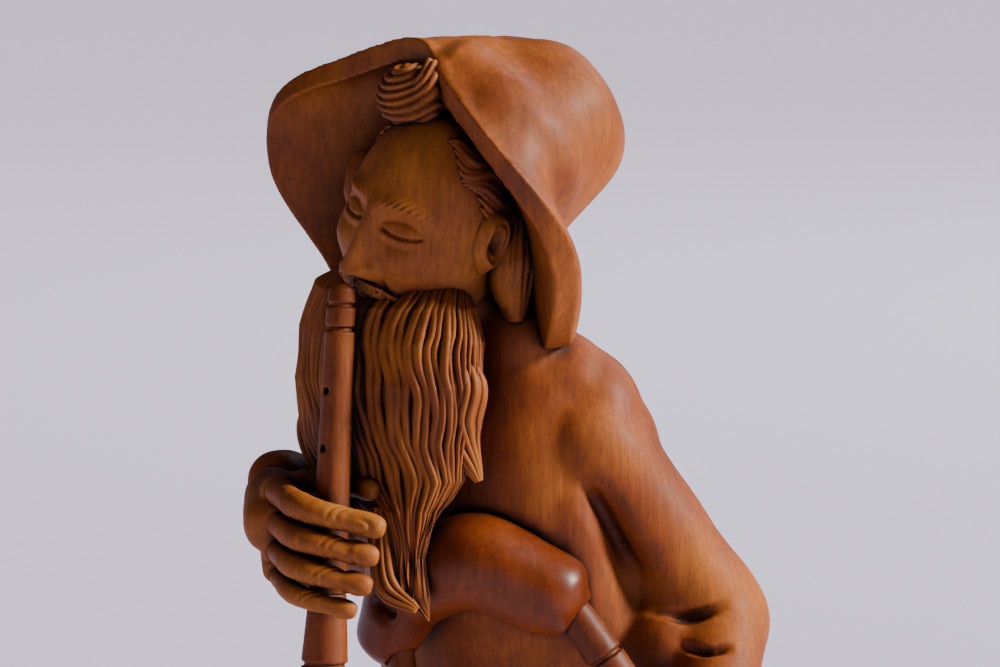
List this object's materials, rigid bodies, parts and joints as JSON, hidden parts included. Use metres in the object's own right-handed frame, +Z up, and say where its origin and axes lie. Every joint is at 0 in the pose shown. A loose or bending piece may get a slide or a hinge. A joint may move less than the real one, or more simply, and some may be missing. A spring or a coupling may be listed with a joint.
{
  "type": "carved figurine",
  "caption": "Carved wooden figurine of a bearded old piper in a floppy hat and long robe, standing on a round ground base and playing a ringed pipe beside a bag with a drone",
  "frame": {"origin": "centre of the flat underside of the ground base", "axes": "+Z up, the figure faces -Y, and its own left side is +X"},
  "size_m": [0.1437, 0.1219, 0.3192],
  "materials": {
    "robe_wood": "satin",
    "skin_wood": "satin",
    "hair_wood": "satin",
    "hat_wood": "satin",
    "pipe_wood": "satin",
    "bag_wood": "gloss",
    "base_wood": "satin"
  },
  "bodies": {
    "root": {"robe_skirt": "robe_wood", "robe_torso": "robe_wood", "left_upper_sleeve": "robe_wood", "left_forearm_sleeve": "robe_wood", "right_upper_sleeve": "robe_wood", "right_forearm_sleeve": "robe_wood", "head": "skin_wood", "neck": "skin_wood", "left_ear": "skin_wood", "right_ear": "skin_wood", "left_palm": "skin_wood", "right_palm": "skin_wood", "left_index_finger": "skin_wood", "left_middle_finger": "skin_wood", "left_ring_finger": "skin_wood", "left_little_finger": "skin_wood", "left_thumb": "skin_wood", "right_index_finger": "skin_wood", "right_middle_finger": "skin_wood", "right_ring_finger": "skin_wood", "right_little_finger": "skin_wood", "right_thumb": "skin_wood", "forelock": "hair_wood", "left_side_hair": "hair_wood", "right_side_hair": "hair_wood", "left_moustache": "hair_wood", "right_moustache": "hair_wood", "beard": "hair_wood", "hat": "hat_wood", "pipe_mouthpiece": "pipe_wood", "pipe_barrel": "pipe_wood", "pipe_bell": "pipe_wood", "drone_pipe": "pipe_wood", "drone_bell": "pipe_wood", "bag_stock": "pipe_wood", "bag": "bag_wood", "ground_base": "base_wood", "left_shoe": "base_wood", "right_shoe": "base_wood"}
  },
  "joints": []
}
